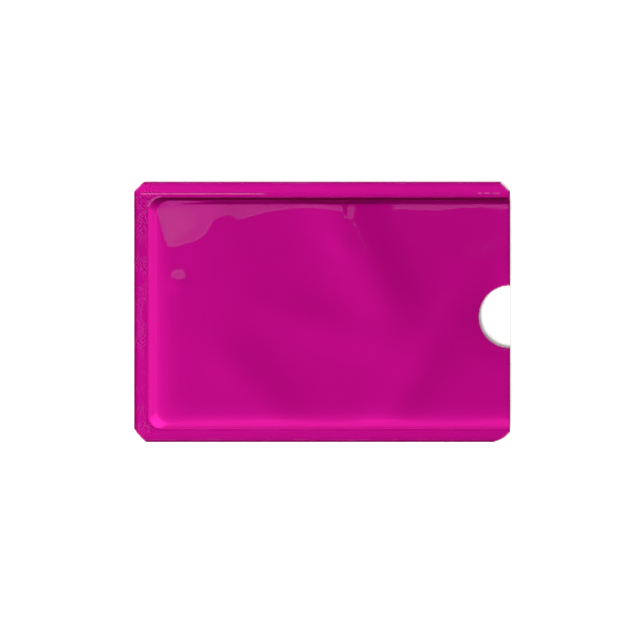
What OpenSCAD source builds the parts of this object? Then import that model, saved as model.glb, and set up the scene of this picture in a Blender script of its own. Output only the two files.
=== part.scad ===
// Card sleeve of foil laminate with a blank contactless card in its pocket.
// The sleeve lies on its back. +X points out of the open mouth, +Y to the upper seam and +Z out of
// the front. The origin is the middle of the sleeve's outline, on the surface that it lies on.

/* [Card] */
// Length of the card
card_l = 85.6; // [70:0.1:120]
// Width of the card
card_w = 53.98; // [45:0.01:90]
// Thickness of the card
card_t = 0.76; // [0.5:0.01:1.2]
// Corner radius of the card
card_r = 3.18; // [2:0.01:6]
// Thickness of the card's inlay, which holds the coil and the chip
inlay_t = 0.2; // [0.16:0.01:0.3]

/* [Pocket] */
// Clearance on every side of the card
card_play = 0.05; // [0.03:0.01:0.3]
// Width of the slope between the card and the weld at the closed end
end_flank_w = 2.05; // [1:0.05:4]
// Width of the slope between the card and the upper weld
upper_flank_w = 0.86; // [0.6:0.02:3]
// Width of the slope between the card and the lower weld
lower_flank_w = 0.96; // [0.6:0.02:3]
// Radius of the pocket's corners along the inner edge of the welds
pocket_r = 3; // [1:0.1:5]

/* [Laminate] */
// Thickness of the coloured outer film
film_t = 0.05; // [0.03:0.01:0.15]
// Thickness of the aluminium foil
foil_t = 0.03; // [0.02:0.01:0.1]
// Thickness of the sealing liner
liner_t = 0.12; // [0.06:0.01:0.25]

/* [Welds] */
// Width of the weld across the closed end
end_weld_w = 3.3; // [2:0.1:8]
// Width of the weld along the upper edge
upper_weld_w = 3.6; // [2:0.1:8]
// Width of the weld along the lower edge
lower_weld_w = 3.5; // [2:0.1:8]

/* [Outline corners] */
// Cut of the upper corner at the closed end, along X and along Y
upper_end_cut = [2.3, 2.2]; // [1:0.1:4]
// Cut of the upper corner at the mouth, along X and along Y
upper_mouth_cut = [2.4, 1.9]; // [1:0.1:4]
// Rounding of the lower corner at the closed end, along X and along Y
lower_end_cut = [3, 3]; // [1:0.1:4]
// Rounding of the lower corner at the mouth, along X and along Y
lower_mouth_cut = [4.4, 2.6]; // [1:0.1:6]
// How full the two upper corners are: 1 is a straight cut and 2 a round one
cut_fullness = 1.2; // [1:0.1:2]

/* [Thumb notch] */
// Radius of the punched notch in the mouth
notch_r = 7.4; // [5:0.1:12]
// How far the notch lies below the middle of the mouth
notch_drop = 1.1; // [-6:0.1:6]

/* [Coil and chip] */
// Number of turns of the coil
coil_turns = 5; // [3:1:7]
// Width of one track of the coil
track_w = 0.5; // [0.3:0.05:0.8]
// Space between two turns of the coil
track_gap = 0.5; // [0.3:0.05:0.8]
// Thickness of the tracks
track_t = 0.05; // [0.03:0.01:0.07]
// Distance from the card's edge to the outer turn
coil_margin = 3; // [2:0.1:6]
// Length of the chip module, along X
chip_l = 5.2; // [4:0.1:8]
// Width of the chip module, along Y
chip_w = 8; // [5:0.1:9]
// Distance from the coil's inner turn to the chip module
chip_gap = 2; // [1:0.1:5]

/* [Hidden] */

film_colour = [0.73, 0.03, 0.51];
foil_colour = [0.78, 0.79, 0.8];
liner_colour = [0.88, 0.88, 0.86];
weld_colour = [0.82, 0.8, 0.82];
sheet_colour = [0.97, 0.97, 0.96];
inlay_colour = [0.9, 0.89, 0.84];
coil_colour = [0.72, 0.45, 0.25];
chip_colour = [0.2, 0.2, 0.22];

// Steps on a rounded corner of the pocket and on a round corner of the outline
$fn = 32;
corner_steps = 10;
// How far a cutting shape runs past what it cuts
over = 1;

// Heights, from the back film's underside up. Every layer of the front sheet has the same lift
// above the pocket's ceiling on the welds, on the flanks and over the card.
skin_t = film_t + foil_t;
floor_z = skin_t + liner_t;
pocket_h = card_t + 2 * card_play;
foil_lift = liner_t;
film_lift = liner_t + foil_t;
face_lift = film_lift + film_t;
weld_t = 2 * liner_t;

// Plan of the sleeve: the mouth, the closed end and the two long edges
sleeve_l = card_l + card_play + end_flank_w + end_weld_w;
sleeve_w = card_w + 2 * card_play + upper_flank_w + lower_flank_w + upper_weld_w + lower_weld_w;
mouth_x = sleeve_l / 2;
end_x = -sleeve_l / 2;
upper_y = sleeve_w / 2;
lower_y = -sleeve_w / 2;

// Inner edges of the welds, where the pocket starts
weld_end_x = end_x + end_weld_w;
weld_upper_y = upper_y - upper_weld_w;
weld_lower_y = lower_y + lower_weld_w;

// The part of the pocket that holds its full height, which the card fills
seat_end_x = weld_end_x + end_flank_w;
seat_upper_y = weld_upper_y - upper_flank_w;
seat_lower_y = weld_lower_y + lower_flank_w;
seat_r = card_r + card_play;

// Place of the card, and of what is in it
card_x = mouth_x - card_l;
card_y = seat_lower_y + card_play;
card_z = floor_z + card_play;
sheet_t = (card_t - inlay_t) / 2;
inlay_z = card_z + sheet_t;
pitch = track_w + track_gap;

// How far a fold moves sideways for each unit of lift, on a flank of the given width
function creep(flank_w) = tan(atan2(pocket_h, flank_w) / 2);

// Points of one corner from angle 0 to 90 degrees, about the middle of its quarter
function corner_points(cut, fullness, sx, sy) = [
    for (i = [0 : corner_steps])
        let (a = 90 * i / corner_steps)
        [sx * cut[0] * pow(cos(a), 2 / fullness), sy * cut[1] * pow(sin(a), 2 / fullness)]
];
function flipped(points) = [for (i = [len(points) - 1 : -1 : 0]) points[i]];
function moved(points, x, y) = [for (p = points) [p[0] + x, p[1] + y]];

// Outline of the sleeve, from the upper corner at the mouth and on anticlockwise
outline_points = concat(
    moved(corner_points(upper_mouth_cut, cut_fullness, 1, 1),
        mouth_x - upper_mouth_cut[0], upper_y - upper_mouth_cut[1]),
    moved(flipped(corner_points(upper_end_cut, cut_fullness, -1, 1)),
        end_x + upper_end_cut[0], upper_y - upper_end_cut[1]),
    moved(corner_points(lower_end_cut, 2, -1, -1),
        end_x + lower_end_cut[0], lower_y + lower_end_cut[1]),
    moved(flipped(corner_points(lower_mouth_cut, 2, 1, -1)),
        mouth_x - lower_mouth_cut[0], lower_y + lower_mouth_cut[1])
);

module outline() {
    polygon(outline_points);
}

// Thumb notch, through every layer of both sheets
module notch() {
    translate([mouth_x, -notch_drop, -over])
        cylinder(r = notch_r, h = floor_z + pocket_h + face_lift + 2 * over, $fn = 96);
}

// A rectangle that is rounded at the closed end and square at the mouth
module pocket_plan(x0, y0, x1, y1, r) {
    union() {
        translate([x0 + r, y0]) square([x1 - x0 - r, y1 - y0]);
        translate([x0, y0 + r]) square([r, y1 - y0 - 2 * r]);
        translate([x0 + r, y0 + r]) circle(r = r);
        translate([x0 + r, y1 - r]) circle(r = r);
    }
}

// Foot of the flanks, which is the inner edge of the welds at no lift
module foot_plan(lift = 0, x1 = mouth_x) {
    pocket_plan(
        weld_end_x - lift * creep(end_flank_w), weld_lower_y - lift * creep(lower_flank_w),
        x1, weld_upper_y + lift * creep(upper_flank_w), pocket_r
    );
}

// Top of the flanks, which is the edge of the card's seat at no lift
module seat_plan(lift = 0, x1 = mouth_x) {
    pocket_plan(
        seat_end_x - lift * creep(end_flank_w), seat_lower_y - lift * creep(lower_flank_w),
        x1, seat_upper_y + lift * creep(upper_flank_w), seat_r
    );
}

// Everything under one layer of the front sheet where it rises over the card
module rise(lift) {
    hull() {
        linear_extrude(height = floor_z + lift) foot_plan(lift, mouth_x + over);
        linear_extrude(height = floor_z + pocket_h + lift) seat_plan(lift, mouth_x + over);
    }
}

// One layer of the front sheet, between two lifts above the pocket's ceiling
module front_layer(from, to) {
    difference() {
        intersection() {
            union() {
                translate([end_x - over, lower_y - over, floor_z + from])
                    cube([sleeve_l + 2 * over, sleeve_w + 2 * over, to - from]);
                rise(to);
            }
            linear_extrude(height = floor_z + pocket_h + face_lift + over) outline();
        }
        rise(from);
        translate([end_x - over, lower_y - over, -over])
            cube([sleeve_l + 2 * over, sleeve_w + 2 * over, floor_z + from + over]);
        notch();
    }
}

// One flat layer of the back sheet
module back_layer(z, t) {
    difference() {
        translate([0, 0, z]) linear_extrude(height = t) outline();
        notch();
    }
}

// The border of the sleeve, where both liners are melted into one
module weld_border() {
    translate([0, 0, skin_t]) linear_extrude(height = weld_t) difference() {
        outline();
        foot_plan(0, mouth_x + over);
    }
}

// All that lies between two places along X and two along Y
module slab(x0, x1, y0, y1) {
    translate([x0, y0, -over])
        cube([x1 - x0, y1 - y0, floor_z + pocket_h + face_lift + 2 * over]);
}

// The liner where it climbs from the welds to the seat, on all three sides
module liner_flanks() {
    difference() {
        rise(foil_lift);
        rise(0);
        translate([0, 0, -over])
            linear_extrude(height = floor_z + foil_lift + over) difference() {
                translate([end_x, lower_y]) square([sleeve_l + over, sleeve_w]);
                foot_plan(0, mouth_x + 2 * over);
            }
        translate([end_x, lower_y, -over])
            cube([sleeve_l + 2 * over, sleeve_w, floor_z + over]);
        linear_extrude(height = floor_z + pocket_h + face_lift) seat_plan(0, mouth_x + 2 * over);
        slab(mouth_x, mouth_x + 3 * over, lower_y, upper_y);
    }
}

// Clear outer film of the back, the face that the sleeve lies on
module back_film() {
    color(film_colour) back_layer(0, film_t);
}

// Aluminium shield of the back
module back_foil() {
    color(foil_colour) back_layer(film_t, foil_t);
}

// Sealing liner of the back, inside the welds
module back_liner() {
    color(liner_colour) difference() {
        translate([0, 0, skin_t]) linear_extrude(height = liner_t) foot_plan();
        notch();
    }
}

// Weld across the closed end, with the rounded corners of the pocket
module end_weld() {
    color(weld_colour) intersection() {
        weld_border();
        slab(end_x - over, weld_end_x + pocket_r, lower_y - over, upper_y + over);
    }
}

// Weld along the upper edge, up to the mouth
module upper_weld() {
    color(weld_colour) intersection() {
        weld_border();
        slab(weld_end_x + pocket_r, mouth_x + over, 0, upper_y + over);
    }
}

// Weld along the lower edge, up to the mouth
module lower_weld() {
    color(weld_colour) intersection() {
        weld_border();
        slab(weld_end_x + pocket_r, mouth_x + over, lower_y - over, 0);
    }
}

// Sealing liner of the front, flat over the card
module front_liner() {
    color(liner_colour) difference() {
        translate([0, 0, floor_z + pocket_h]) linear_extrude(height = liner_t) seat_plan();
        notch();
    }
}

// Slope of the front liner at the closed end, with both rounded corners
module front_liner_end() {
    color(liner_colour) intersection() {
        liner_flanks();
        slab(end_x, seat_end_x + seat_r, lower_y, upper_y);
    }
}

// Slope of the front liner along the upper weld
module front_liner_upper() {
    color(liner_colour) intersection() {
        liner_flanks();
        slab(seat_end_x + seat_r, mouth_x + over, 0, upper_y);
    }
}

// Slope of the front liner along the lower weld
module front_liner_lower() {
    color(liner_colour) intersection() {
        liner_flanks();
        slab(seat_end_x + seat_r, mouth_x + over, lower_y, 0);
    }
}

// Aluminium shield of the front
module front_foil() {
    color(foil_colour) front_layer(foil_lift, film_lift);
}

// Coloured outer film of the front
module front_film() {
    color(film_colour) front_layer(film_lift, face_lift);
}

// A sheet of the card, with its four round corners
module card_plate(z, t) {
    translate([card_x + card_l / 2, card_y + card_w / 2, z]) linear_extrude(height = t) union() {
        square([card_l, card_w - 2 * card_r], center = true);
        square([card_l - 2 * card_r, card_w], center = true);
        for (sx = [-1, 1], sy = [-1, 1])
            translate([sx * (card_l / 2 - card_r), sy * (card_w / 2 - card_r)]) circle(r = card_r);
    }
}

// Half lengths of a turn of the coil, counted from the outer one
function turn_x(i) = card_l / 2 - coil_margin - track_w / 2 - i * pitch;
function turn_y(i) = card_w / 2 - coil_margin - track_w / 2 - i * pitch;

// The chip lies inside the coil, near the closed end. The outer end of the coil starts below it.
last_turn = coil_turns - 1;
chip_x = -turn_x(last_turn) + track_w / 2 + chip_gap + chip_l / 2;
chip_y = -turn_y(last_turn) + track_w / 2 + chip_gap + chip_w / 2;

// Corner k of the coil's path, from the outer start inwards
function coil_corner(k) =
    let (i = floor(k / 4), side = k % 4)
    side == 0 ? [k == 0 ? chip_x : -turn_x(i - 1), -turn_y(i)] :
    side == 1 ? [turn_x(i), -turn_y(i)] :
    side == 2 ? [turn_x(i), turn_y(i)] : [-turn_x(i), turn_y(i)];

// A straight track between two points, square past both ends by half its width
module track(a, b) {
    translate([min(a[0], b[0]) - track_w / 2, min(a[1], b[1]) - track_w / 2, 0])
        cube([abs(a[0] - b[0]) + track_w, abs(a[1] - b[1]) + track_w, track_t]);
}

// The coil's path, with its middle at the card's. Its tracks lie in the inlay's upper face, and a
// strap in the lower face brings the outer end under the turns to the chip.
module coil_shape() {
    inner_end = coil_corner(4 * coil_turns - 1);
    strap_end = [chip_x, chip_y - chip_w / 2 - track_w / 2];
    translate([0, 0, inlay_t - track_t]) {
        for (k = [0 : 4 * coil_turns - 2]) track(coil_corner(k), coil_corner(k + 1));
        track(inner_end, [inner_end[0], chip_y]);
        track([inner_end[0], chip_y], [chip_x - chip_l / 2 - track_w / 2, chip_y]);
    }
    track(coil_corner(0), strap_end);
    translate([chip_x - track_w / 2, -turn_y(0) - track_w / 2, 0])
        cube([track_w, track_w, inlay_t]);
}

module chip_shape() {
    translate([chip_x - chip_l / 2, chip_y - chip_w / 2, 0]) cube([chip_l, chip_w, inlay_t]);
}

module in_inlay() {
    translate([card_x + card_l / 2, card_y + card_w / 2, inlay_z]) children();
}

// Back sheet of the card
module card_back_sheet() {
    color(sheet_colour) card_plate(card_z, sheet_t);
}

// Inlay of the card, with the grooves of the coil and the window of the chip
module card_inlay() {
    color(inlay_colour) difference() {
        card_plate(inlay_z, inlay_t);
        in_inlay() coil_shape();
        in_inlay() chip_shape();
    }
}

// Flat coil of the card
module card_coil() {
    color(coil_colour) in_inlay() coil_shape();
}

// Chip module of the card
module card_chip() {
    color(chip_colour) in_inlay() chip_shape();
}

// Front sheet of the card
module card_front_sheet() {
    color(sheet_colour) card_plate(inlay_z + inlay_t, sheet_t);
}

back_film();
back_foil();
back_liner();
end_weld();
upper_weld();
lower_weld();
front_liner();
front_liner_end();
front_liner_upper();
front_liner_lower();
front_foil();
front_film();
card_back_sheet();
card_inlay();
card_coil();
card_chip();
card_front_sheet();
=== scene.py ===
import math

import bpy
import numpy as np
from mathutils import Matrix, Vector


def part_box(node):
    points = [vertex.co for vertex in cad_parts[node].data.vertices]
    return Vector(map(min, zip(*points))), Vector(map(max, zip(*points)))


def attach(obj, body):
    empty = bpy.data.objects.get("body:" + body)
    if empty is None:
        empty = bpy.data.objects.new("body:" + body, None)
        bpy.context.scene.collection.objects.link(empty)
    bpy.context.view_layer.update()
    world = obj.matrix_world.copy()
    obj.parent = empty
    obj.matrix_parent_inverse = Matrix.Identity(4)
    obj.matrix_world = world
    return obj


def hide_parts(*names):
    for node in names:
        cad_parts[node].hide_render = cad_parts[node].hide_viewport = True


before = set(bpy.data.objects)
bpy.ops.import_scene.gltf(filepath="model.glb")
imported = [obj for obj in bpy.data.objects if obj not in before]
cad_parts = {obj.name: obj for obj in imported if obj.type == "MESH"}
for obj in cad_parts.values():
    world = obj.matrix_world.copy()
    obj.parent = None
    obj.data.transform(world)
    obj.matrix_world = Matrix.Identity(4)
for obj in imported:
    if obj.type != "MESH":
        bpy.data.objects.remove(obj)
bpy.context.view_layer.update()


# The view: the sleeve lies on a white table and is looked at from straight above through a long
# lens, so that its outline is free of perspective. The lens is a little off its middle.
MM = 0.001
VIEW_X, VIEW_Y, VIEW_HEIGHT = -0.48 * MM, -1.94 * MM, 1291.3 * MM
LENS, SENSOR, NEAREST = 300, 36, 10 * MM

scene = bpy.context.scene
camera = bpy.data.objects.new("camera", bpy.data.cameras.new("camera"))
camera.data.lens = LENS
camera.data.sensor_width = SENSOR
camera.data.clip_start = NEAREST
camera.location = (VIEW_X, VIEW_Y, VIEW_HEIGHT)
scene.collection.objects.link(camera)
scene.camera = camera
scene.view_settings.view_transform = "Standard"


# The studio: a wide soft key from the lower left, a dim warm room, and behind the table's middle
# a cool panel overhead, with a brighter near edge. It is what the clear film mirrors at the top.
KEY_AZIMUTH, KEY_ELEVATION = math.radians(226), math.radians(38)
KEY_FOCUS, KEY_LEVEL, KEY_TINT = 7.0, 0.98, "FFFDFF"
ROOM_TINT, ROOM_LEVELS = "FFEBD6", ((0.0, 0.38), (0.5, 0.26), (0.87, 0.05), (1.0, 0.03))
PANEL_HEIGHT, PANEL_LEFT, PANEL_RIGHT, PANEL_TINT = 2.0, -0.90, 0.09, "F2F5FF"
PANEL_NEAR, PANEL_EDGE, PANEL_FAR = 0.118, 0.150, 0.36
PANEL_RADIANCE, EDGE_RADIANCE = 5.0, 8.5


def linear(hex_colour):
    """A colour written as sRGB hex, as linear red, green, blue and alpha."""
    levels = [int(hex_colour[i : i + 2], 16) / 255 for i in (0, 2, 4)]
    return [c / 12.92 if c <= 0.04045 else ((c + 0.055) / 1.055) ** 2.4 for c in levels] + [1.0]


def add_node(tree, kind, inputs=None, **settings):
    """A node of that kind, with its settings, and what feeds its inputs: a value or a link."""
    made = tree.nodes.new(kind)
    for name, value in settings.items():
        setattr(made, name, value)
    for name, value in (inputs or {}).items():
        if isinstance(value, bpy.types.NodeSocket):
            tree.links.new(value, made.inputs[name])
        else:
            made.inputs[name].default_value = value
    return made


def empty_tree(owner):
    """The node tree of a material or of the room, switched on and emptied."""
    owner.use_nodes = True
    owner.node_tree.nodes.clear()
    return owner.node_tree


def add_panel(name, near, far, radiance):
    """A stretch of the overhead panel, from near to far along Y, that shines straight down."""
    lamp = bpy.data.lights.new(name, "AREA")
    lamp.shape = "RECTANGLE"
    lamp.size, lamp.size_y = PANEL_RIGHT - PANEL_LEFT, far - near
    lamp.energy = radiance * math.pi * lamp.size * lamp.size_y
    lamp.color = linear(PANEL_TINT)[:3]
    made = bpy.data.objects.new(name, lamp)
    made.location = ((PANEL_LEFT + PANEL_RIGHT) / 2, (near + far) / 2, PANEL_HEIGHT)
    scene.collection.objects.link(made)


add_panel("panel_edge", PANEL_NEAR, PANEL_EDGE, EDGE_RADIANCE)
add_panel("panel", PANEL_EDGE, PANEL_FAR, PANEL_RADIANCE)

world = bpy.data.worlds.new("room")
scene.world = world
tree = empty_tree(world)
direction = add_node(tree, "ShaderNodeTexCoord").outputs["Generated"]
height = add_node(tree, "ShaderNodeSeparateXYZ", {"Vector": direction}).outputs["Z"]
room = add_node(tree, "ShaderNodeValToRGB", {"Fac": height})
stops = room.color_ramp.elements
stops.remove(stops[1])
for place, level in ROOM_LEVELS:
    stop = stops[0] if place == 0 else stops.new(place)
    stop.color = [level * c for c in linear(ROOM_TINT)[:3]] + [1]
# The key falls off smoothly round its middle. Its peak follows from the light that it has to
# throw on the table, where a level of 1 makes pure white.
key_towards = (
    math.cos(KEY_ELEVATION) * math.cos(KEY_AZIMUTH),
    math.cos(KEY_ELEVATION) * math.sin(KEY_AZIMUTH),
    math.sin(KEY_ELEVATION),
)
key_peak = KEY_LEVEL * KEY_FOCUS / (2 * (1 - 1 / KEY_FOCUS) * math.sin(KEY_ELEVATION))
facing = add_node(
    tree, "ShaderNodeVectorMath", {0: direction, 1: key_towards}, operation="DOT_PRODUCT"
).outputs["Value"]
facing = add_node(
    tree, "ShaderNodeMath", {0: facing, 1: KEY_FOCUS, 2: -KEY_FOCUS}, operation="MULTIPLY_ADD"
)
falloff = add_node(tree, "ShaderNodeMath", {0: facing.outputs[0]}, operation="EXPONENT")
key = add_node(
    tree, "ShaderNodeVectorMath",
    {0: [key_peak * c for c in linear(KEY_TINT)[:3]], "Scale": falloff.outputs[0]},
    operation="SCALE",
)
light = add_node(
    tree, "ShaderNodeVectorMath", {0: room.outputs["Color"], 1: key.outputs[0]}, operation="ADD"
)
light = add_node(tree, "ShaderNodeBackground", {"Color": light.outputs[0]})
add_node(tree, "ShaderNodeOutputWorld", {"Surface": light.outputs[0]})


# The table: a matt white sheet, much larger than the view. It keeps the sleeve's soft shadow, and
# glows a little to the camera and in gloss, so that it reads as white under a plain light.
TABLE_SIZE, TABLE_DROP, TABLE_GLOW = 8.0, 0.02 * MM, 0.45
table_mesh = bpy.data.meshes.new("table")
half = TABLE_SIZE / 2
table_mesh.from_pydata(
    [(-half, -half, -TABLE_DROP), (half, -half, -TABLE_DROP),
     (half, half, -TABLE_DROP), (-half, half, -TABLE_DROP)],
    [], [(0, 1, 2, 3)],
)
white_table = bpy.data.materials.new("matt_white_table")
tree = empty_tree(white_table)
matt = add_node(tree, "ShaderNodeBsdfDiffuse", {"Color": linear("FAFAFA")})
glow = add_node(tree, "ShaderNodeEmission", {"Color": linear("FFFFFF"), "Strength": TABLE_GLOW})
rays = add_node(tree, "ShaderNodeLightPath").outputs
seen = add_node(
    tree, "ShaderNodeMath",
    {0: rays["Is Camera Ray"], 1: rays["Is Glossy Ray"]}, operation="MAXIMUM",
)
seen = add_node(
    tree, "ShaderNodeMath",
    {0: seen.outputs[0], 1: rays["Is Transmission Ray"]}, operation="MAXIMUM",
)
black = add_node(tree, "ShaderNodeEmission", {"Strength": 0.0})
lift = add_node(
    tree, "ShaderNodeMixShader", {0: seen.outputs[0], 1: black.outputs[0], 2: glow.outputs[0]}
)
both = add_node(tree, "ShaderNodeAddShader", {0: matt.outputs[0], 1: lift.outputs[0]})
add_node(tree, "ShaderNodeOutputMaterial", {"Surface": both.outputs[0]})
table_mesh.materials.append(white_table)
table = bpy.data.objects.new("table", table_mesh)
scene.collection.objects.link(table)


# The outer film of the back, dyed polyester laminated to the foil. All layers are die-cut together,
# so they share its outline and thumb notch, and the border's cut edges curl up a little. Between
# card and welds it arches a hair off the table, which draws the card's outline on the back.
film_low, film_high = (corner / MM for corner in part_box("back_film"))
END_X, MOUTH_X, SIDE_Y = film_low.x, film_high.x, film_high.y
FILM_T = film_high.z - film_low.z
# Side of each corner, its cut along X and Y in mm, and how full it is: 1 straight, 2 round.
CORNER_CUTS = (
    (-1, 1, 2.4, 2.3, 1.15), (1, 1, 2.4, 2.3, 1.1),
    (-1, -1, 2.9, 3.2, 1.25), (1, -1, 4.0, 2.5, 1.5),
)
NOTCH_Y, NOTCH_R = -1.1, 7.4
# Grid corners nearer to the cut than this share of a cell move onto it, in this many moves. The
# slope that they follow is taken over this step in mm, and its square is at least this.
SNAP, SNAP_MOVES, SLOPE_STEP, LEAST_SLOPE = 0.3, 4, 1e-4, 0.05
# Where an edge of the grid crosses the cut is found by halving it this often.
CUT_HALVINGS = 20
# The pocket inside the welds: their inner edges, which the back liner's outline follows.
pocket_low, pocket_high = (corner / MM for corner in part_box("back_liner"))
WELD_X, WELD_LOW, WELD_HIGH = pocket_low.x, pocket_low.y, pocket_high.y
# The front over the card as nested contours, in mm: the level of each, and along the upper seam;
# how far it lies inside the welds' inner edge at the closed end, the upper seam and the lower
# seam; and its corner radius. The first ones run over the border, which thickens inwards.
CONTOURS = (
    (0.400, 0.400, -2.35, -0.20, -2.30, 2.2),
    (0.440, 0.400, -1.50, -0.08, -1.40, 2.5),
    (0.475, 0.402, -0.75, 0.08, -0.72, 2.8),
    (0.485, 0.410, 0.08, 0.22, -0.22, 3.0),
    (0.560, 0.500, 0.50, 0.32, -0.09, 3.0),
    (0.810, 0.780, 1.15, 0.54, 0.23, 3.1),
    (1.030, 1.020, 1.62, 0.73, 0.62, 3.2),
    (1.240, 1.235, 2.07, 0.90, 1.08, 3.4),
    (1.330, 1.300, 2.58, 1.10, 1.42, 3.7),
    (1.416, 1.355, 3.20, 1.30, 1.80, 4.1),
    (1.504, 1.405, 4.10, 1.50, 2.35, 4.7),
    (1.590, 1.450, 5.30, 1.72, 3.10, 5.4),
    (1.648, 1.464, 7.00, 1.92, 4.10, 6.2),
    (1.676, 1.484, 9.00, 2.45, 5.40, 7.0),
    (1.684, 1.530, 12.00, 10.00, 8.00, 8.0),
    (1.684, 1.575, 15.00, 15.50, 11.00, 9.0),
)
# Which of them is the foot, where the front leaves the weld, and which lies over the card's edge.
FOOT, CARD_EDGE = 3, 7
# Steps from each contour to the next in the fine table, and how often the range is halved to find
# which contour a point lies on.
FINE, SHARE_HALVINGS = 60, 26
# The levels along the upper seam take over between these heights along Y, in mm.
UPPER_FROM, UPPER_TO = -6.0, 20.0
# Height and width of the curls along the border's cut edges, in mm.
END_CURL, END_CURL_W = 0.08, 0.9
LOWER_CURL, LOWER_CURL_W = 0.12, 0.7
UPPER_CURL, UPPER_CURL_FROM, UPPER_CURL_TO = 0.38, 3.6, 0.0
# How far the back film arches up between the card and the welds, in mm.
BACK_GROOVE = 0.03
# A sheet's faces that meet at more than this angle keep a sharp edge between them.
SHARP_ANGLE = math.radians(50)


def off_notch(x, y):
    """How far (x, y) lies from the edge of the thumb notch, in mm; negative is in the notch."""
    return np.hypot(x - MOUTH_X, y - NOTCH_Y) - NOTCH_R


def corner_depths(x, y):
    """For each corner cut, its share reached along X and along Y, and the depth inside it."""
    for side_x, side_y, cut_x, cut_y, fullness in CORNER_CUTS:
        u = np.maximum(side_x * x - (MOUTH_X - cut_x), 0) / cut_x
        v = np.maximum(side_y * y - (SIDE_Y - cut_y), 0) / cut_y
        yield u, v, (1 - u**fullness - v**fullness) * min(cut_x, cut_y)


def inside_outline(x, y):
    """How far (x, y) lies inside the corner cuts and the notch, in about mm; negative is outside."""
    depth = off_notch(x, y)
    for u, v, corner in corner_depths(x, y):
        depth = np.minimum(depth, np.where((u > 0) & (v > 0), corner, depth))
    return depth


def contour_depth(x, y, end, upper, lower, radius):
    """How far (x, y) lies inside the contour with these insets and this corner radius, in mm."""
    across = WELD_X + end + radius - x
    along = np.maximum(y - (WELD_HIGH - upper - radius), WELD_LOW + lower + radius - y)
    rounded = np.hypot(np.maximum(across, 0), np.maximum(along, 0))
    return radius - np.where((across > 0) & (along > 0), rounded, np.maximum(across, along))


def pocket_depth(x, y):
    """How far (x, y) lies inside the foot of the front, where the welds end, in mm."""
    return contour_depth(x, y, *CONTOURS[FOOT][2:])


def inside_pocket(x, y):
    """How far (x, y) lies inside both the pocket and the cut outline."""
    return np.minimum(pocket_depth(x, y), inside_outline(x, y))


def eased(values):
    """The values of successive contours as a fine table whose slope changes gradually."""
    fine = np.linspace(0, len(values) - 1, FINE * (len(values) - 1) + 1)
    table = np.interp(fine, np.arange(len(values)), values)
    before = 2 * table[0] - table[1 : FINE // 2 + 1][::-1]
    after = 2 * table[-1] - table[-FINE // 2 - 1 : -1][::-1]
    window = np.hanning(FINE + 3)[1:-1]
    padded = np.concatenate([before, table, after])
    return np.convolve(padded, window / window.sum(), "valid")


levels, upper_levels, ends, uppers, lowers, radii = (eased(column) for column in zip(*CONTOURS))
shares = np.linspace(0, 1, len(levels))
FOOT_SHARE, EDGE_SHARE = FOOT / (len(CONTOURS) - 1), CARD_EDGE / (len(CONTOURS) - 1)


def contour_share(x, y):
    """Which contour each point lies on, as a share from the first, 0, to the top one, 1."""
    low, high = np.zeros(np.shape(x)), np.ones(np.shape(x))
    for _ in range(SHARE_HALVINGS):
        middle = (low + high) / 2
        contour = (np.interp(middle, shares, table) for table in (ends, uppers, lowers, radii))
        outside = contour_depth(x, y, *contour) < 0
        low, high = np.where(outside, low, middle), np.where(outside, middle, high)
    return (low + high) / 2


def smooth(value):
    """A gradual step, from 0 where value is 0 or less to 1 where it is 1 or more."""
    value = np.clip(value, 0, 1)
    return value * value * (3 - 2 * value)


def curl(x, y):
    """How far the border curls up off the table along its cut edges, in mm."""
    rise = END_CURL * np.clip(1 - (x - END_X) / END_CURL_W, 0, 1) ** 2
    rise = rise + LOWER_CURL * np.clip(1 - (y + SIDE_Y) / LOWER_CURL_W, 0, 1) ** 2
    depth = SIDE_Y - y
    return rise + UPPER_CURL * smooth((UPPER_CURL_FROM - depth) / (UPPER_CURL_FROM - UPPER_CURL_TO))


def back_height(x, y):
    """Height of the back film's underside above the table, in mm."""
    across = (contour_share(x, y) - FOOT_SHARE) / (EDGE_SHARE - FOOT_SHARE)
    groove = np.sin(math.pi * np.clip(across, 0, 1)) ** 2
    return curl(x, y) + BACK_GROOVE * groove


def grid_lines(spread, *stretches):
    """Grid lines through each (start, end, spacing) in turn, with every spacing times spread."""
    lines = [stretches[0][0]]
    for start, end, spacing in stretches:
        steps = max(1, round((end - start) / (spacing * spread)))
        lines += [start + (end - start) * i / steps for i in range(1, steps + 1)]
    return np.array(lines)


def across_lines(spread=1.0):
    """Grid lines from the closed end to the mouth, close where the layers bend."""
    return grid_lines(
        spread, (END_X, -44.5, 0.1), (-44.5, -42.9, 0.2), (-42.9, -40.1, 0.1), (-40.1, -33.5, 0.25),
        (-33.5, -17.0, 0.35), (-17.0, 36.5, 0.6), (36.5, 44.9, 0.25), (44.9, MOUTH_X, 0.075),
    )


def along_lines(spread=1.0):
    """Grid lines from the lower edge to the upper one, close where the layers bend."""
    return grid_lines(
        spread, (-SIDE_Y, -30.7, 0.1), (-30.7, -28.9, 0.2), (-28.9, -26.9, 0.08),
        (-26.9, -22.5, 0.2), (-22.5, -9.5, 0.6), (-9.5, 7.3, 0.3), (7.3, 22.5, 0.4),
        (22.5, 25.7, 0.16), (25.7, 28.3, 0.07), (28.3, 29.2, 0.06), (29.2, 31.0, 0.2),
        (31.0, SIDE_Y, 0.1),
    )


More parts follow.
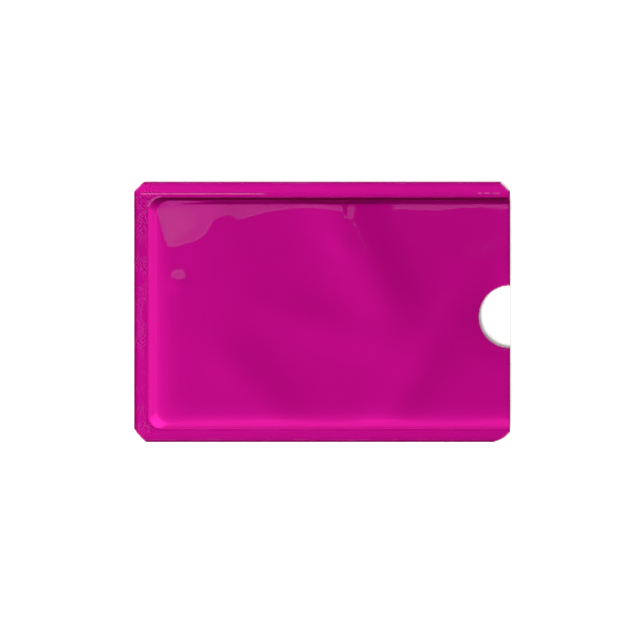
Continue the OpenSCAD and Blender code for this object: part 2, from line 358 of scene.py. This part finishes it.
def cut_grid(lines_x, lines_y, inside):
    """The corners and faces of a grid, trimmed to where inside(x, y) is not negative."""
    gx, gy = np.meshgrid(lines_x, lines_y, indexing="ij")
    cell = np.minimum(*np.meshgrid(np.gradient(lines_x), np.gradient(lines_y), indexing="ij"))
    depth = inside(gx, gy)
    free = np.zeros(gx.shape, bool)
    free[1:-1, 1:-1] = True
    near = free & (np.abs(depth) < SNAP * cell)
    for _ in range(SNAP_MOVES):
        here = inside(gx, gy)
        slope_x = (inside(gx + SLOPE_STEP, gy) - here) / SLOPE_STEP
        slope_y = (inside(gx, gy + SLOPE_STEP) - here) / SLOPE_STEP
        steep = np.maximum(slope_x**2 + slope_y**2, LEAST_SLOPE)
        gx = np.where(near, gx - here * slope_x / steep, gx)
        gy = np.where(near, gy - here * slope_y / steep, gy)
    depth = np.where(near, 0.0, inside(gx, gy))
    points = list(zip(gx.ravel(), gy.ravel()))
    rows, columns = gx.shape
    index = np.arange(rows * columns).reshape(rows, columns)
    kept = depth >= 0
    whole = kept[:-1, :-1] & kept[1:, :-1] & kept[1:, 1:] & kept[:-1, 1:]
    some = (kept[:-1, :-1] | kept[1:, :-1] | kept[1:, 1:] | kept[:-1, 1:]) & ~whole
    corners = np.stack([index[:-1, :-1], index[1:, :-1], index[1:, 1:], index[:-1, 1:]], -1)
    faces = corners[whole].tolist()
    level = depth.ravel()
    crossings = {}

    def crossing(a, b):
        """The point on the cut between grid corners a, inside, and b, outside."""
        if (a, b) not in crossings:
            low, high = np.array(points[a]), np.array(points[b])
            for _ in range(CUT_HALVINGS):
                middle = (low + high) / 2
                if inside(*middle) >= 0:
                    low = middle
                else:
                    high = middle
            crossings[a, b] = len(points)
            points.append(tuple(low))
        return crossings[a, b]

    for square in corners[some].tolist():
        face = []
        for a, b in zip(square, square[1:] + square[:1]):
            if level[a] >= 0:
                face.append(a)
            if level[a] > 0 > level[b]:
                face.append(crossing(a, b))
            elif level[a] < 0 < level[b]:
                face.append(crossing(b, a))
        if len(face) > 2:
            faces.append(face)
    used = sorted({i for face in faces for i in face})
    place = {old: new for new, old in enumerate(used)}
    faces = [[place[i] for i in face] for face in faces]
    return np.array([points[i] for i in used]), faces


def add_sheet(name, plan, bottom, top, material, marks=None):
    """A closed sheet over the plan, from bottom to top in mm, with one value per corner in marks."""
    points, faces = plan
    count = len(points)
    corners = np.vstack([np.column_stack([points, top]), np.column_stack([points, bottom])]) * MM
    edges = np.array([(a, b) for face in faces for a, b in zip(face, face[1:] + face[:1])])
    forward, backward = edges[:, 0] * count + edges[:, 1], edges[:, 1] * count + edges[:, 0]
    rim = edges[~np.isin(backward, forward)]
    walls = [(a, a + count, b + count, b) for a, b in rim.tolist()]
    under = [[i + count for i in reversed(face)] for face in faces]
    mesh = bpy.data.meshes.new(name)
    mesh.from_pydata(corners.tolist(), [], faces + under + walls)
    for mark, values in (marks or {}).items():
        layer = mesh.attributes.new(mark, "FLOAT", "POINT")
        layer.data.foreach_set("value", np.tile(values, 2).astype(np.float32))
    mesh.shade_smooth()
    mesh.set_sharp_from_angle(angle=SHARP_ANGLE)
    mesh.materials.append(material)
    made = bpy.data.objects.new(name, mesh)
    scene.collection.objects.link(made)
    return made


# How the die and the welding jaws mark the film: whitened within these widths of the punched
# corners and notch, knurled over the end weld, and drawn into fine lines along the side welds.
CORNER_WHITE, NOTCH_WHITE = 0.45, 0.18
# The whitening of a corner takes this share of its cut to set in at either end.
CUT_EASE = 0.125
# The knurl sets in over the first width from the cut edge, in mm, and is this faint along the side
# welds, where it has given way to the lines within this length. Both set in over the last width.
KNURL_FROM, KNURL_SIDES, SIDE_EASE, WELD_EASE = 0.7, 0.3, 3.0, 0.3


def film_marks(x, y):
    """The film's marks at each point, from 0 to 1, by the name that its material reads."""
    whitened = np.clip(1 - off_notch(x, y) / NOTCH_WHITE, 0, 1)
    for u, v, depth in corner_depths(x, y):
        near = np.clip(1 - depth / CORNER_WHITE, 0, 1) * smooth(u / CUT_EASE) * smooth(v / CUT_EASE)
        whitened = np.maximum(whitened, near)
    border = np.clip(-pocket_depth(x, y) / WELD_EASE, 0, 1)
    side_weld = smooth((x - WELD_X) / SIDE_EASE)
    clear_edge = smooth((x - END_X) / KNURL_FROM)
    return {
        "cut_white_and_sheen": whitened,
        "weld_knurl": border * clear_edge * (1 - side_weld * (1 - KNURL_SIDES)),
        "weld_lines": border * side_weld,
    }


# The diamonds of the jaws' knurl: how far apart, in mm, how they are turned, and how uneven they
# came out, from 0 to 1.
KNURL_PITCH, KNURL_TURN, KNURL_UNEVEN = 0.7, math.radians(45), 0.6


def add_knurl(tree, place):
    """The pattern of the knurl: how far each place is from the nearest diamond's point."""
    turned = add_node(
        tree, "ShaderNodeMapping",
        {"Vector": place, "Rotation": (0, 0, KNURL_TURN), "Scale": (1 / (KNURL_PITCH * MM),) * 3},
    )
    return add_node(
        tree, "ShaderNodeTexVoronoi",
        {"Vector": turned.outputs[0], "Scale": 1.0, "Randomness": KNURL_UNEVEN},
        voronoi_dimensions="2D",
    ).outputs["Distance"]


# Metallised polyester: the metal under the dye gives a saturated, satin shading, and the clear
# film over it a sharp gloss. The jaws' diamond knurl took unevenly, and shows only in patches.
magenta_film = bpy.data.materials.new("magenta_metallised_polyester")
tree = empty_tree(magenta_film)
place = add_node(tree, "ShaderNodeTexCoord").outputs["Object"]
# Dye varies a little over some 20 mm, and the haze of the metal over some 8 mm. Where two colours
# are mixed, input 0 is the share, and 6 and 7 are the colours.
dye = add_node(tree, "ShaderNodeTexNoise", {"Vector": place, "Scale": 1 / (20 * MM), "Detail": 3.0})
dyed = add_node(
    tree, "ShaderNodeMix", {0: dye.outputs["Fac"], 6: linear("A90276"), 7: linear("B0027C")},
    data_type="RGBA",
)
haze = add_node(tree, "ShaderNodeTexNoise", {"Vector": place, "Scale": 1 / (8 * MM), "Detail": 4.0})
satin = add_node(
    tree, "ShaderNodeMapRange", {"Value": haze.outputs["Fac"], "To Min": 0.48, "To Max": 0.52}
)
# The cut edges' whitening and the front's painted highlight break up over some 0.6 mm.
breakup = add_node(tree, "ShaderNodeTexNoise", {"Vector": place, "Scale": 1 / (0.6 * MM)})
breakup = add_node(
    tree, "ShaderNodeMapRange", {"Value": breakup.outputs["Fac"], "From Min": 0.25, "From Max": 0.5}
)
# The mark holds the cut edges' whitening and, on the front, a painted highlight along its bends.
cut = add_node(tree, "ShaderNodeAttribute", attribute_name="cut_white_and_sheen").outputs["Fac"]
cut = add_node(tree, "ShaderNodeMath", {0: cut, 1: breakup.outputs[0]}, operation="MULTIPLY")
pale = add_node(
    tree, "ShaderNodeMix", {0: cut.outputs[0], 6: dyed.outputs[2], 7: linear("EADBE3")},
    data_type="RGBA",
)
# It mirrors less where the cut edges are whitened and where the highlight is painted.
whole = add_node(tree, "ShaderNodeMath", {0: 1.0, 1: cut.outputs[0]}, operation="SUBTRACT")
# Faint unevenness of the thin film over some 2.5 mm.
uneven = add_node(
    tree, "ShaderNodeTexNoise", {"Vector": place, "Scale": 1 / (2.5 * MM), "Detail": 2.0}
)
uneven = add_node(
    tree, "ShaderNodeBump", {"Height": uneven.outputs["Fac"], "Distance": 0.004 * MM}
)
# Lines drawn along the side welds, some 6 mm long and 0.45 mm apart.
drawn = add_node(
    tree, "ShaderNodeMapping",
    {"Vector": place, "Scale": (1 / (6 * MM), 1 / (0.45 * MM), 1 / (6 * MM))},
)
drawn = add_node(tree, "ShaderNodeTexNoise", {"Vector": drawn.outputs[0], "Scale": 1.0})
lines = add_node(tree, "ShaderNodeAttribute", attribute_name="weld_lines").outputs["Fac"]
drawn = add_node(tree, "ShaderNodeMath", {0: drawn.outputs["Fac"], 1: lines}, operation="MULTIPLY")
drawn = add_node(
    tree, "ShaderNodeBump",
    {"Height": drawn.outputs[0], "Distance": 0.03 * MM, "Normal": uneven.outputs[0]},
)
# The knurl took in patches of some 5 mm.
knurl = add_knurl(tree, place)
patches = add_node(tree, "ShaderNodeTexNoise", {"Vector": place, "Scale": 1 / (5 * MM)})
patches = add_node(
    tree, "ShaderNodeMapRange",
    {"Value": patches.outputs["Fac"], "From Min": 0.42, "From Max": 0.62},
)
pressed = add_node(tree, "ShaderNodeAttribute", attribute_name="weld_knurl").outputs["Fac"]
pressed = add_node(
    tree, "ShaderNodeMath", {0: pressed, 1: patches.outputs[0]}, operation="MULTIPLY"
)
knurl = add_node(tree, "ShaderNodeMath", {0: knurl, 1: pressed.outputs[0]}, operation="MULTIPLY")
knurl = add_node(
    tree, "ShaderNodeBump",
    {"Height": knurl.outputs[0], "Distance": 0.06 * MM, "Normal": drawn.outputs[0]},
)
shader = add_node(
    tree, "ShaderNodeBsdfPrincipled",
    {
        "Base Color": pale.outputs[2], "Metallic": whole.outputs[0], "Roughness": satin.outputs[0],
        "Normal": knurl.outputs[0], "Coat Weight": 0.11, "Coat Roughness": 0.03, "Coat IOR": 1.5,
        "Coat Normal": knurl.outputs[0],
    },
)
add_node(tree, "ShaderNodeOutputMaterial", {"Surface": shader.outputs[0]})

outer_plan = cut_grid(across_lines(), along_lines(), inside_outline)
outer_x, outer_y = outer_plan[0].T
back_z = back_height(outer_x, outer_y)
back_film = add_sheet(
    "back_film_sheet", outer_plan, back_z, back_z + FILM_T, magenta_film,
    film_marks(outer_x, outer_y),
)
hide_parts("back_film")
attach(back_film, "sleeve")


# The back's aluminium foil, the shield, rolled thin and laminated to the film. It shows as a
# bright line in the cut edge.
FOIL_T = (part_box("back_foil")[1].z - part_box("back_foil")[0].z) / MM
# Grid spacing of the layers that the films hide, as a multiple of the films' own.
HIDDEN_SPREAD = 1.8

# Rolled foil: grey, bright metal with fine lines along the rolling direction.
rolled_foil = bpy.data.materials.new("rolled_aluminium_foil")
tree = empty_tree(rolled_foil)
place = add_node(tree, "ShaderNodeTexCoord").outputs["Object"]
# Rolling lines some 12 mm long and 0.2 mm apart, coarser than real ones so that they show.
rolled = add_node(
    tree, "ShaderNodeMapping",
    {"Vector": place, "Scale": (1 / (12 * MM), 1 / (0.2 * MM), 1 / (12 * MM))},
)
rolled = add_node(
    tree, "ShaderNodeTexNoise", {"Vector": rolled.outputs[0], "Scale": 1.0, "Detail": 3.0}
)
sheen = add_node(
    tree, "ShaderNodeMix", {0: rolled.outputs["Fac"], 6: linear("C4C6C9"), 7: linear("D4D6D9")},
    data_type="RGBA",
)
rough = add_node(
    tree, "ShaderNodeMapRange", {"Value": rolled.outputs["Fac"], "To Min": 0.22, "To Max": 0.36}
)
bump = add_node(
    tree, "ShaderNodeBump", {"Height": rolled.outputs["Fac"], "Distance": 0.004 * MM}
)
shader = add_node(
    tree, "ShaderNodeBsdfPrincipled",
    {
        "Base Color": sheen.outputs[2], "Metallic": 1.0, "Roughness": rough.outputs[0],
        "Normal": bump.outputs[0],
    },
)
add_node(tree, "ShaderNodeOutputMaterial", {"Surface": shader.outputs[0]})

inner_plan = cut_grid(across_lines(HIDDEN_SPREAD), along_lines(HIDDEN_SPREAD), inside_outline)
inner_x, inner_y = inner_plan[0].T
back_z = back_height(inner_x, inner_y) + FILM_T
back_foil = add_sheet("back_foil_sheet", inner_plan, back_z, back_z + FOIL_T, rolled_foil)
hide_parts("back_foil")
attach(back_foil, "sleeve")


# The back's sealing liner, polyethylene extruded onto the foil. Within the welds it lines the
# pocket; under them it melted into one with the front's liner.
LINER_T = (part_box("back_liner")[1].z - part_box("back_liner")[0].z) / MM
SKIN_T = FILM_T + FOIL_T

# Extruded polyethylene: milky, waxy and soft to the eye, with a faint grain from its chill roll.
milky_liner = bpy.data.materials.new("milky_polyethylene")
tree = empty_tree(milky_liner)
place = add_node(tree, "ShaderNodeTexCoord").outputs["Object"]
cloud = add_node(tree, "ShaderNodeTexNoise", {"Vector": place, "Scale": 1 / (6 * MM), "Detail": 3.0})
milk = add_node(
    tree, "ShaderNodeMix", {0: cloud.outputs["Fac"], 6: linear("E4E6E8"), 7: linear("EFF0F0")},
    data_type="RGBA",
)
grain = add_node(tree, "ShaderNodeTexNoise", {"Vector": place, "Scale": 1 / (0.5 * MM)})
wax = add_node(
    tree, "ShaderNodeMapRange", {"Value": cloud.outputs["Fac"], "To Min": 0.36, "To Max": 0.48}
)
bump = add_node(tree, "ShaderNodeBump", {"Height": grain.outputs["Fac"], "Distance": 0.006 * MM})
shader = add_node(
    tree, "ShaderNodeBsdfPrincipled",
    {
        "Base Color": milk.outputs[2], "Roughness": wax.outputs[0], "IOR": 1.51,
        "Normal": bump.outputs[0],
    },
)
add_node(tree, "ShaderNodeOutputMaterial", {"Surface": shader.outputs[0]})

pocket_plan = cut_grid(across_lines(HIDDEN_SPREAD), along_lines(HIDDEN_SPREAD), inside_pocket)
pocket_x, pocket_y = pocket_plan[0].T
back_z = back_height(pocket_x, pocket_y) + SKIN_T
back_liner = add_sheet("back_liner_sheet", pocket_plan, back_z, back_z + LINER_T, milky_liner)
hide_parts("back_liner")
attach(back_liner, "sleeve")


# The three welds: both liners melted into one band across the closed end and along each side.
# They follow the front, whose relief is worked out here.
WELD_SPLIT_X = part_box("upper_weld")[0].x / MM
# The film touches the card's edge at the first height, and from the second on it takes folds.
CARD_TOUCH, FREE_FROM = 1.22, 1.46
# Soft folds of the film over the card: each runs from one point to another, with its half width
# on its right and on its left side, how gently it ends, and its height, all in mm.
FOLDS = (
    # the long fold from the upper seam down to the middle
    (5.4, 23.2, 14.2, 5.6, 5.6, 5.2, 1.7, 0.36),
    # the folds that fan out from its end: to the closed end, the lower seam and the mouth
    (-6.0, -1.4, 9.0, -6.2, 3.6, 3.6, 2.6, 0.11),
    (-20.5, -13.8, -13.0, -21.4, 4.2, 4.2, 1.8, 0.13),
    (25.2, -11.5, 20.6, -19.0, 3.8, 3.6, 3.6, 0.25),
    # the broad swellings before the closed end and at the mouth
    (-23.0, 2.0, -22.0, -8.0, 7.0, 7.0, 2.6, 0.11),
    (51.0, -24.0, 51.0, 0.0, 7.5, 7.5, 2.6, 0.18),
    # the small dents beside the tip of the fall at the card's corner, and under the upper seam
    (-34.8, 7.2, -34.9, 7.3, 1.6, 1.6, 1.0, 0.06),
    (4.4, 16.9, 4.8, 16.7, 1.8, 1.8, 1.0, 0.05),
)
# Along the upper seam the film falls towards the weld from this line on, given as points in mm:
# as a facet over the card's corner, which meets the bulge of the closed end in a crease, and as a
# narrow band along the rest, with a small dip at the middle.
BROW = (
    (-46.0, 10.4), (-37.0, 10.4), (-35.8, 11.4), (-34.4, 13.1), (-32.0, 15.2), (-30.4, 16.6),
    (-29.1, 17.8), (-28.3, 18.6), (-27.5, 19.8), (-26.7, 21.9), (-25.8, 22.6), (-24.7, 22.9),
    (-22.3, 23.8), (-21.2, 23.0), (-20.3, 22.3), (-18.6, 22.8), (-14.2, 23.9), (-10.2, 24.6),
    (-4.5, 25.1), (1.9, 24.7), (5.2, 24.5), (5.9, 22.4), (6.4, 22.2), (7.6, 24.0), (10.0, 24.9),
    (12.4, 25.3), (18.1, 25.3), (23.7, 24.6), (27.8, 24.5), (34.2, 25.3), (39.0, 26.0),
    (42.0, 25.8), (46.0, 25.6),
)
# The fall sets in over the first, in mm, with the first slope, which flattens towards the later one
# over the span. It goes at most this share of the way down to the card's edge.
FALL_EASE, FALL_SLOPE, LATER_SLOPE, FALL_SPAN, FALL_MOST = 0.8, 0.027, 0.0105, 4.0, 0.9
# How much the crease where the fall meets the bulge is rounded, in mm.
FACET_CREASE = 0.012
# A place along X where the closed end no longer lowers the front.
CLEAR_X = 10.0
# A point with a smaller share than this lies outside the first contour.
OUTER_SHARE = 1e-6
# Creases pressed into the upper weld: from and to along X, their Y, and their height, in mm; and
# the half width of each, and the length in which its ends set in.
CREASES = (
    (-44.0, -13.8, 28.72, 0.045), (31.6, 32.2, 28.80, 0.040), (37.7, 38.8, 28.85, 0.040),
    (39.2, 40.8, 28.85, 0.040), (41.1, 43.2, 28.75, -0.035),
)
CREASE_W, CREASE_EASE = 0.14, 0.3
# The front flares up a little at the mouth, above the notch: by how much, how far in from the
# mouth, and round which Y and over how much of it the flare sets in, in mm.
FLARE, FLARE_W, FLARE_LOW, FLARE_EASE = 0.03, 4.5, 6.0, 3.0
# The cut edges roll down at the mouth, along the upper edge, and where the corners and the notch
# are punched; and all round the notch the punch drew the film down. Drop and width, in mm.
MOUTH_ROLL, MOUTH_ROLL_W = 0.10, 0.45
UPPER_ROLL, UPPER_ROLL_W = 0.05, 0.80
PUNCH_ROLL, PUNCH_ROLL_W = 0.05, 0.40
NOTCH_DIP, NOTCH_DIP_W = 0.12, 7.0


def folds(x, y):
    """Rise of the soft folds at each point, in mm."""
    rise = np.zeros(np.shape(x))
    for x0, y0, x1, y1, right, left, ending, height in FOLDS:
        length = math.hypot(x1 - x0, y1 - y0)
        along = ((x - x0) * (x1 - x0) + (y - y0) * (y1 - y0)) / length
        across = ((x - x0) * (y1 - y0) - (y - y0) * (x1 - x0)) / length
        beyond = np.maximum(0, np.maximum(-along, along - length)) / (ending * (right + left) / 2)
        across = across / np.where(across > 0, right, left)
        rise += height * np.exp(-(across**2 + beyond**2) / 2)
    return rise


def brow_fall(x, y):
    """How far the film has fallen above the brow line, in mm."""
    # The line is where the fall shows, a third of the way through its ease.
    above = y - np.interp(x, *zip(*BROW)) + FALL_EASE / 3
    start = np.clip(above / FALL_EASE, 0, 1)
    past = np.maximum(above - FALL_EASE, 0)
    fall = FALL_SLOPE * FALL_EASE * (start**3 - start**4 / 2) + LATER_SLOPE * past
    return fall + (FALL_SLOPE - LATER_SLOPE) * FALL_SPAN * (1 - np.exp(-past / FALL_SPAN))


def roll(depth, drop, width):
    """How far a cut edge rolls down at this depth inside it."""
    return drop * np.clip(1 - depth / width, 0, 1) ** 2


def crease_reach(x, x0, x1):
    """How strong a crease from x0 to x1 is at x, from 0 to 1."""
    return smooth((x - x0) / CREASE_EASE) * smooth((x1 - x) / CREASE_EASE)


def contour_height(x, y):
    """Height of the front from its contours alone, in mm."""
    share = contour_share(x, y)
    upper = smooth((y - UPPER_FROM) / (UPPER_TO - UPPER_FROM))
    height = np.interp(share, shares, levels) * (1 - upper)
    height = height + np.interp(share, shares, upper_levels) * upper
    return np.where(share < OUTER_SHARE, CONTOURS[0][0], height)


def freedom(height):
    """How far the film at this height is free of the card, from 0 to 1."""
    return np.clip((height - CARD_TOUCH) / (FREE_FROM - CARD_TOUCH), 0, 1)


def front_height(x, y):
    """Height of the front film's outer face above the table, in mm."""
    height = contour_height(x, y)
    free = freedom(height)
    clear = contour_height(np.full(np.shape(x), CLEAR_X), y)
    falling = clear - np.minimum(brow_fall(x, y), FALL_MOST * np.maximum(clear - CARD_TOUCH, 0))
    # The lower of the two, with the crease between them a little rounded.
    height = (height + falling - np.hypot(height - falling, FACET_CREASE * free)) / 2
    height = height + free * (folds(x, y) - roll(off_notch(x, y), NOTCH_DIP, NOTCH_DIP_W))
    flared = smooth((x - MOUTH_X) / FLARE_W + 1) * smooth((y - FLARE_LOW) / FLARE_EASE + 0.5)
    height = height + free * FLARE * flared
    for x0, x1, y0, rise in CREASES:
        height = height + rise * np.exp(-(((y - y0) / CREASE_W) ** 2)) * crease_reach(x, x0, x1)
    height = height - roll(MOUTH_X - x, MOUTH_ROLL, MOUTH_ROLL_W)
    height = height - roll(SIDE_Y - y, UPPER_ROLL, UPPER_ROLL_W)
    height = height - roll(inside_outline(x, y), PUNCH_ROLL, PUNCH_ROLL_W)
    return height + curl(x, y)


# Polyethylene melted and pressed: clearer and glossier than the liner, with the jaws' knurl.
pressed_weld = bpy.data.materials.new("pressed_polyethylene_weld")
tree = empty_tree(pressed_weld)
place = add_node(tree, "ShaderNodeTexCoord").outputs["Object"]
cloud = add_node(tree, "ShaderNodeTexNoise", {"Vector": place, "Scale": 1 / (3 * MM), "Detail": 3.0})
melt = add_node(
    tree, "ShaderNodeMix", {0: cloud.outputs["Fac"], 6: linear("D3D7DA"), 7: linear("E3E6E8")},
    data_type="RGBA",
)
gloss = add_node(
    tree, "ShaderNodeMapRange", {"Value": cloud.outputs["Fac"], "To Min": 0.22, "To Max": 0.34}
)
knurl = add_knurl(tree, place)
bump = add_node(tree, "ShaderNodeBump", {"Height": knurl, "Distance": 0.02 * MM})
shader = add_node(
    tree, "ShaderNodeBsdfPrincipled",
    {
        "Base Color": melt.outputs[2], "Roughness": gloss.outputs[0], "IOR": 1.51,
        "Normal": bump.outputs[0],
    },
)
add_node(tree, "ShaderNodeOutputMaterial", {"Surface": shader.outputs[0]})


# A weld's grid has no line nearer to its ends than this, in mm.
LINE_GAP = 0.02


def within(lines, low, high):
    """The grid lines between low and high, with both of these among them."""
    inner = lines[(lines > low + LINE_GAP) & (lines < high - LINE_GAP)]
    return np.concatenate([[low], inner, [high]])


def beside_pocket(x, y):
    """How far (x, y) lies inside the end weld: within the outline and off the pocket."""
    return np.minimum(inside_outline(x, y), -pocket_depth(x, y))


upper_y = WELD_HIGH - CONTOURS[FOOT][3]
lower_y = WELD_LOW + CONTOURS[FOOT][4]
for name, (x0, x1), (y0, y1), inside in (
    ("end_weld", (END_X, WELD_SPLIT_X), (-SIDE_Y, SIDE_Y), beside_pocket),
    ("upper_weld", (WELD_SPLIT_X, MOUTH_X), (upper_y, SIDE_Y), inside_outline),
    ("lower_weld", (WELD_SPLIT_X, MOUTH_X), (-SIDE_Y, lower_y), inside_outline),
):
    lines_x = within(across_lines(HIDDEN_SPREAD), x0, x1)
    lines_y = within(along_lines(HIDDEN_SPREAD), y0, y1)
    plan = cut_grid(lines_x, lines_y, inside)
    x, y = plan[0].T
    weld = add_sheet(
        name + "_band", plan, back_height(x, y) + SKIN_T, front_height(x, y) - SKIN_T, pressed_weld
    )
    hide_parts(name)
    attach(weld, "sleeve")


# The front's sealing liner, the same polyethylene as the back's, extruded onto the front's foil. It
# lies over the card with a little air between them, and ends where the welds begin.
front_z = front_height(pocket_x, pocket_y) - SKIN_T
front_liner = add_sheet(
    "front_liner_sheet", pocket_plan, front_z - LINER_T, front_z, milky_liner
)
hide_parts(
    "front_liner", "front_liner_end", "front_liner_upper", "front_liner_lower"
)
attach(front_liner, "sleeve")


# The front's aluminium foil, the shield over the card, rolled and laminated like the back's. It too
# shows as a bright line in the cut edge, at the mouth and round the notch.
front_z = front_height(inner_x, inner_y) - FILM_T
front_foil = add_sheet("front_foil_sheet", inner_plan, front_z - FOIL_T, front_z, rolled_foil)
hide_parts("front_foil")
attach(front_foil, "sleeve")


# The front's outer film, the same dyed polyester as the back's and the glossy face of the sleeve.
# It was creased as the sleeve was filled, and bears the welds' knurl and lines. A faint pale
# highlight is painted round the pocket's upper corner at the closed end, and along the creases, for
# their gloss.
marks = film_marks(outer_x, outer_y)
# The painted highlight: how strong, its half width, how far it lies outside the bend, the X and Y
# where it sets in at the corner, and over which length, in mm.
BEND_PAINTED_SHEEN, BEND_W, BEND_OUT, BEND_X, BEND_Y, BEND_EASE = 0.09, 0.22, 0.1, -38.7, 25.0, 0.8
painted_bend_sheen = np.exp(-(((pocket_depth(outer_x, outer_y) + BEND_OUT) / BEND_W) ** 2))
painted_bend_sheen = painted_bend_sheen * smooth((BEND_X - outer_x) / BEND_EASE) * smooth((outer_y - BEND_Y) / BEND_EASE)
for from_x, to_x, crease_y, _ in CREASES:
    across = np.exp(-(((outer_y - crease_y + BEND_OUT) / CREASE_W) ** 2))
    painted_bend_sheen = np.maximum(painted_bend_sheen, crease_reach(outer_x, from_x, to_x) * across)
# The painted highlight shares one mark with the whitening at the cut edges.
marks["cut_white_and_sheen"] = np.maximum(marks["cut_white_and_sheen"], BEND_PAINTED_SHEEN * painted_bend_sheen)
front_z = front_height(outer_x, outer_y)
front_film = add_sheet(
    "front_film_sheet", outer_plan, front_z - FILM_T, front_z, magenta_film, marks
)
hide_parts("front_film")
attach(front_film, "sleeve")


# The card's two outer sheets, white PVC hot-laminated between polished plates, here blank.
# Satin white, with a faint orange peel from the plates.
white_pvc = bpy.data.materials.new("satin_white_pvc")
tree = empty_tree(white_pvc)
place = add_node(tree, "ShaderNodeTexCoord").outputs["Object"]
tone = add_node(tree, "ShaderNodeTexNoise", {"Vector": place, "Scale": 1 / (15 * MM), "Detail": 2.0})
white = add_node(
    tree, "ShaderNodeMix", {0: tone.outputs["Fac"], 6: linear("F6F6F4"), 7: linear("FAFAF9")},
    data_type="RGBA",
)
peel = add_node(
    tree, "ShaderNodeTexNoise", {"Vector": place, "Scale": 1 / (0.4 * MM), "Detail": 2.0}
)
gloss = add_node(
    tree, "ShaderNodeMapRange", {"Value": tone.outputs["Fac"], "To Min": 0.27, "To Max": 0.34}
)
bump = add_node(tree, "ShaderNodeBump", {"Height": peel.outputs["Fac"], "Distance": 0.003 * MM})
shader = add_node(
    tree, "ShaderNodeBsdfPrincipled",
    {
        "Base Color": white.outputs[2], "Roughness": gloss.outputs[0], "IOR": 1.53,
        "Normal": bump.outputs[0],
    },
)
add_node(tree, "ShaderNodeOutputMaterial", {"Surface": shader.outputs[0]})


def finish_node(name, material):
    """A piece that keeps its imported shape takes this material."""
    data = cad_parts[name].data
    data.materials.clear()
    data.materials.append(material)


finish_node("card_front_sheet", white_pvc)
finish_node("card_back_sheet", white_pvc)


# The card's inlay, the ivory PVC sheet that carries the coil and the chip, cut with their seats and
# laminated between the outer sheets. Matt, with a fine cloudy fleck.
ivory_pvc = bpy.data.materials.new("ivory_pvc_inlay")
tree = empty_tree(ivory_pvc)
place = add_node(tree, "ShaderNodeTexCoord").outputs["Object"]
fleck = add_node(
    tree, "ShaderNodeTexNoise", {"Vector": place, "Scale": 1 / (0.8 * MM), "Detail": 4.0}
)
ivory = add_node(
    tree, "ShaderNodeMix", {0: fleck.outputs["Fac"], 6: linear("E9E3D2"), 7: linear("F3EEE1")},
    data_type="RGBA",
)
bump = add_node(tree, "ShaderNodeBump", {"Height": fleck.outputs["Fac"], "Distance": 0.004 * MM})
shader = add_node(
    tree, "ShaderNodeBsdfPrincipled",
    {"Base Color": ivory.outputs[2], "Roughness": 0.55, "IOR": 1.53, "Normal": bump.outputs[0]},
)
add_node(tree, "ShaderNodeOutputMaterial", {"Surface": shader.outputs[0]})
finish_node("card_inlay", ivory_pvc)


# The card's coil, copper etched from a sheet and sealed in the inlay: pinkish metal, a little
# tarnished, with the fine pitting of the etch, which is drawn coarse enough to show.
etched_copper = bpy.data.materials.new("etched_copper")
tree = empty_tree(etched_copper)
place = add_node(tree, "ShaderNodeTexCoord").outputs["Object"]
tarnish = add_node(
    tree, "ShaderNodeTexNoise", {"Vector": place, "Scale": 1 / (4 * MM), "Detail": 4.0}
)
copper = add_node(
    tree, "ShaderNodeMix", {0: tarnish.outputs["Fac"], 6: linear("C98A6C"), 7: linear("EFB698")},
    data_type="RGBA",
)
pits = add_node(tree, "ShaderNodeTexNoise", {"Vector": place, "Scale": 1 / (0.12 * MM)})
rough = add_node(
    tree, "ShaderNodeMapRange", {"Value": tarnish.outputs["Fac"], "To Min": 0.42, "To Max": 0.28}
)
bump = add_node(tree, "ShaderNodeBump", {"Height": pits.outputs["Fac"], "Distance": 0.003 * MM})
shader = add_node(
    tree, "ShaderNodeBsdfPrincipled",
    {
        "Base Color": copper.outputs[2], "Metallic": 1.0, "Roughness": rough.outputs[0],
        "Normal": bump.outputs[0],
    },
)
add_node(tree, "ShaderNodeOutputMaterial", {"Surface": shader.outputs[0]})
finish_node("card_coil", etched_copper)


# The card's chip module, silicon moulded into a black epoxy body and set in the inlay's window. Matt,
# and grainy from the epoxy's filler, which is drawn coarse enough to show.
moulded_epoxy = bpy.data.materials.new("black_moulded_epoxy")
tree = empty_tree(moulded_epoxy)
place = add_node(tree, "ShaderNodeTexCoord").outputs["Object"]
filler = add_node(
    tree, "ShaderNodeTexNoise", {"Vector": place, "Scale": 1 / (0.15 * MM), "Detail": 3.0}
)
epoxy = add_node(
    tree, "ShaderNodeMix", {0: filler.outputs["Fac"], 6: linear("17181A"), 7: linear("232527")},
    data_type="RGBA",
)
bump = add_node(tree, "ShaderNodeBump", {"Height": filler.outputs["Fac"], "Distance": 0.006 * MM})
shader = add_node(
    tree, "ShaderNodeBsdfPrincipled",
    {"Base Color": epoxy.outputs[2], "Roughness": 0.52, "IOR": 1.55, "Normal": bump.outputs[0]},
)
add_node(tree, "ShaderNodeOutputMaterial", {"Surface": shader.outputs[0]})
finish_node("card_chip", moulded_epoxy)
